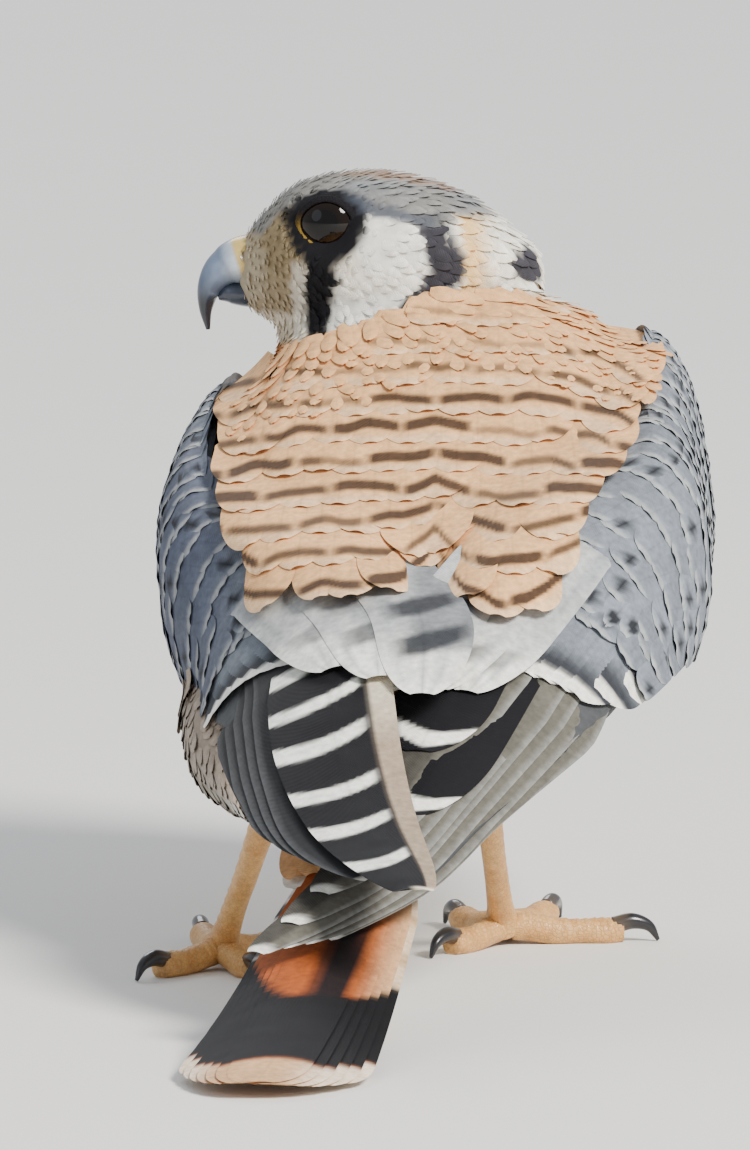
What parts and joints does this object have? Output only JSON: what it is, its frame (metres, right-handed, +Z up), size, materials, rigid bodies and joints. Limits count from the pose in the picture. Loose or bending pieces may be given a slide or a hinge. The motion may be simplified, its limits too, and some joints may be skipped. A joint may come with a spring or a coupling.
{
  "type": "american kestrel model",
  "caption": "Life-size still model of a male American kestrel standing with its head turned to its left and its wings folded over the tail.",
  "frame": {"origin": "on the floor under the middle of the bird's box", "axes": "+Z up, +Y the way the body faces, +X to the bird's right"},
  "size_m": [0.085, 0.2212, 0.1094],
  "materials": {
    "mantle": "matt feathers, rufous with black bars in the look",
    "crown": "matt feathers, blue-grey",
    "pale": "matt feathers, cream to buff",
    "wing": "matt feathers, blue-grey and black",
    "tail": "matt feathers, rufous with a black band",
    "bill": "smooth horn",
    "eye": "wet gloss",
    "leg": "scaled skin, satin",
    "claw": "smooth horn, black"
  },
  "bodies": {
    "root": {"torso": "mantle", "neck": "pale", "head": "crown", "eye_left": "eye", "eye_right": "eye", "bill_upper": "bill", "bill_lower": "bill", "wing_right": "wing", "wing_left": "wing", "tail": "tail", "thigh_left": "pale", "tarsus_left": "leg", "toe_hallux_left": "leg", "claw_hallux_left": "claw", "toe_inner_left": "leg", "claw_inner_left": "claw", "toe_middle_left": "leg", "claw_middle_left": "claw", "toe_outer_left": "leg", "claw_outer_left": "claw", "thigh_right": "pale", "tarsus_right": "leg", "toe_hallux_right": "leg", "claw_hallux_right": "claw", "toe_inner_right": "leg", "claw_inner_right": "claw", "toe_middle_right": "leg", "claw_middle_right": "claw", "toe_outer_right": "leg", "claw_outer_right": "claw"}
  },
  "joints": []
}
